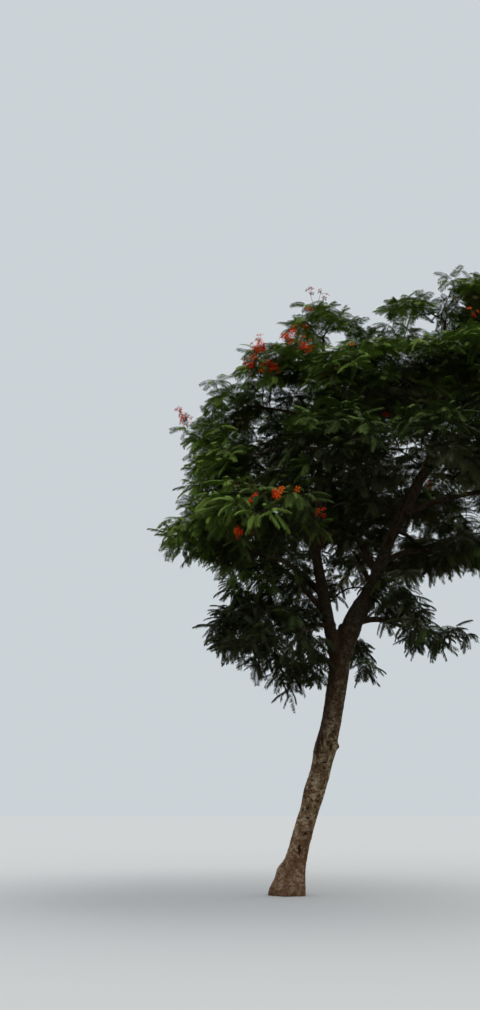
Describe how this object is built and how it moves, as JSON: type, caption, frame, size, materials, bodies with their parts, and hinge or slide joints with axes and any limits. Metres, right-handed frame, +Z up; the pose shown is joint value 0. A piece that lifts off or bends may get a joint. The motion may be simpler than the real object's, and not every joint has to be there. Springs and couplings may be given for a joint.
{
  "type": "flame tree",
  "caption": "Mature flame tree with a bare leaning trunk, a low fork, long tapering boughs and a wide layered crown of separate feathery masses with orange-red blossom.",
  "frame": {"origin": "middle of the flat cut under the trunk, at ground level", "axes": "+Z up, +X the way the trunk leans and the crown reaches furthest, +Y away from the side that the picture shows"},
  "size_m": [10.8502, 9.1919, 14.4886],
  "materials": {
    "bark": "rough",
    "foliage": "satin",
    "blossom": "satin"
  },
  "bodies": {
    "root": {"trunk": "bark", "bough_left": "bark", "bough_right": "bark", "leader_left": "bark", "leader_right": "bark", "low_left": "bark", "skirt_left": "bark", "outer_left": "bark", "rear_left": "bark", "front": "bark", "arch_left": "bark", "upper_left": "bark", "rear_top": "bark", "under_rear": "bark", "skirt_right": "bark", "heart": "bark", "rear": "bark", "low_right": "bark", "front_right": "bark", "rear_low": "bark", "rear_right": "bark", "out_low": "bark", "out_front": "bark", "rear_out": "bark", "out_right": "bark", "out_top": "bark", "crest": "bark", "leaves_top_left": "foliage", "leaves_shoulder": "foliage", "leaves_upper_left": "foliage", "leaves_tip_left": "foliage", "leaves_mid_left": "foliage", "leaves_low_left": "foliage", "leaves_front_left": "foliage", "leaves_skirt_left": "foliage", "leaves_skirt_out": "foliage", "leaves_front": "foliage", "leaves_upper_front": "foliage", "leaves_top_dip": "foliage", "leaves_top_mid": "foliage", "leaves_top_right": "foliage", "leaves_crest": "foliage", "leaves_upper_right": "foliage", "leaves_front_right": "foliage", "leaves_heart": "foliage", "leaves_low_right": "foliage", "leaves_skirt_right": "foliage", "leaves_behind_trunk": "foliage", "leaves_out_top": "foliage", "leaves_out_right": "foliage", "leaves_out_low": "foliage", "leaves_out_front": "foliage", "leaves_rear_left": "foliage", "leaves_rear": "foliage", "leaves_rear_right": "foliage", "leaves_rear_out": "foliage", "leaves_rear_top": "foliage", "leaves_rear_top_left": "foliage", "leaves_rear_top_right": "foliage", "leaves_rear_low": "foliage"}
  },
  "joints": []
}
